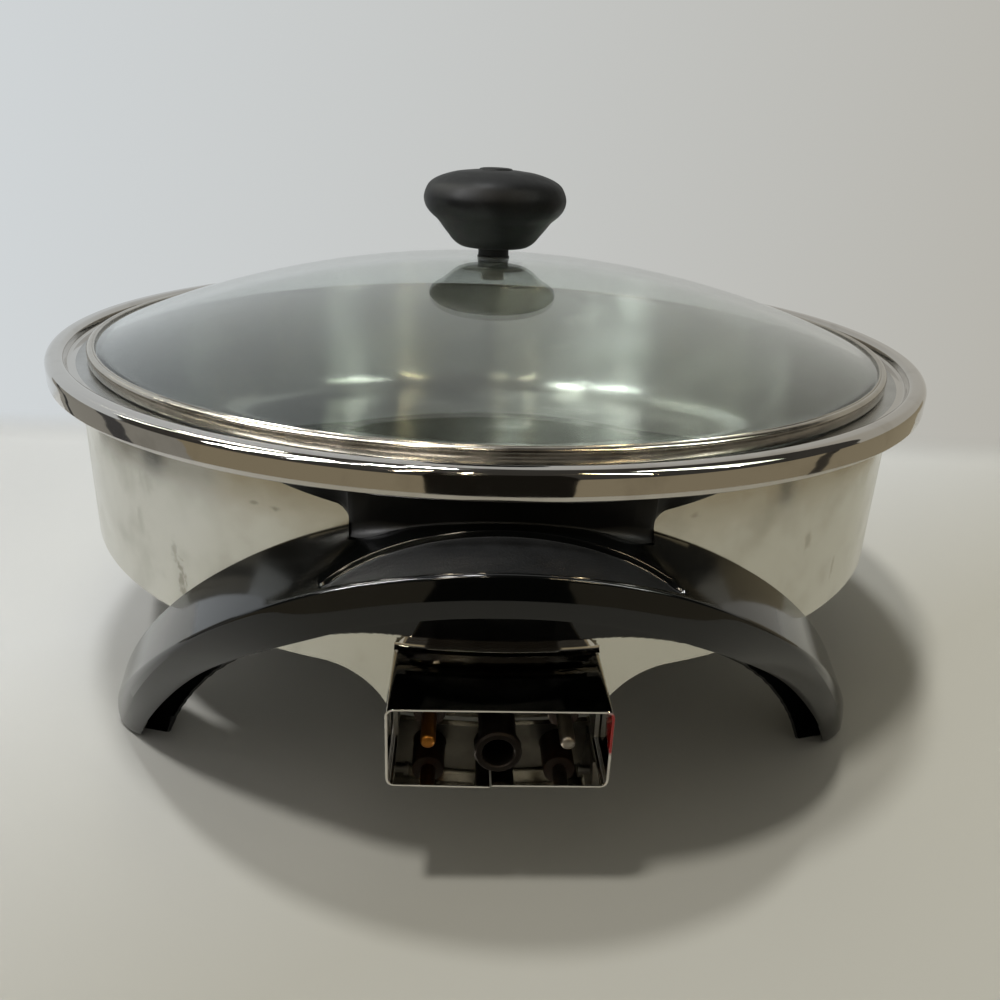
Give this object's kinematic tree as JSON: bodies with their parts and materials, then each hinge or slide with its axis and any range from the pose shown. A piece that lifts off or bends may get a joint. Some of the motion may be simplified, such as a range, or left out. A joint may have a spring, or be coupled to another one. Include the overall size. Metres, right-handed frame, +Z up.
{
  "type": "electric skillet",
  "caption": "Round steel electric skillet on two arched handles that are also its legs, with a lift-off domed glass lid and a sheet guard around its terminals.",
  "frame": {"origin": "on the table, under the middle of the pan", "axes": "+Z up; the terminal guard and the front handle face -Y; +X is to the right seen from the front"},
  "size_m": [0.33, 0.369, 0.1754],
  "materials": {
    "satin_steel": "satin, brushed",
    "polished_steel": "polished",
    "cover_steel": "plain sheet",
    "zinc_steel": "zinc plated",
    "spreader_aluminium": "matte",
    "element_sheath": "dark, annealed",
    "pin_metal": "nickel plated",
    "insulator_ceramic": "matt",
    "tube_steel": "satin",
    "guard_steel": "mirror polished",
    "rivet_steel": "polished",
    "handle_phenolic": "gloss",
    "lid_glass": "clear",
    "band_steel": "polished",
    "knob_phenolic": "semi-matt",
    "insert_brass": "machined",
    "seal_rubber": "matt",
    "washer_steel": "satin"
  },
  "bodies": {
    "base": {"pan": "satin_steel", "outer_shell": "polished_steel", "base_cover": "cover_steel", "base_screws": "zinc_steel", "heat_spreader": "spreader_aluminium", "heating_element": "element_sheath", "element_clips": "zinc_steel", "left_terminal_pin": "pin_metal", "right_terminal_pin": "pin_metal", "terminal_insulators": "insulator_ceramic", "probe_tube": "tube_steel", "probe_clips": "zinc_steel", "terminal_bracket": "zinc_steel", "terminal_guard": "guard_steel", "guard_rivets": "rivet_steel", "front_handle": "handle_phenolic", "rear_handle": "handle_phenolic", "front_bracket": "zinc_steel", "rear_bracket": "zinc_steel", "front_handle_screws": "zinc_steel", "rear_handle_screws": "zinc_steel"},
    "lid": {"lid_glass": "lid_glass", "lid_band": "band_steel", "knob": "knob_phenolic", "knob_cap": "knob_phenolic", "knob_insert": "insert_brass", "knob_gasket": "seal_rubber", "glass_seal": "seal_rubber", "glass_washer": "washer_steel", "knob_screw": "washer_steel"}
  },
  "joints": [
    {"name": "lid_lift", "type": "slide", "parent": "base", "child": "lid", "axis": [0, 0, 1], "range_m": [0, 0.12]}
  ]
}
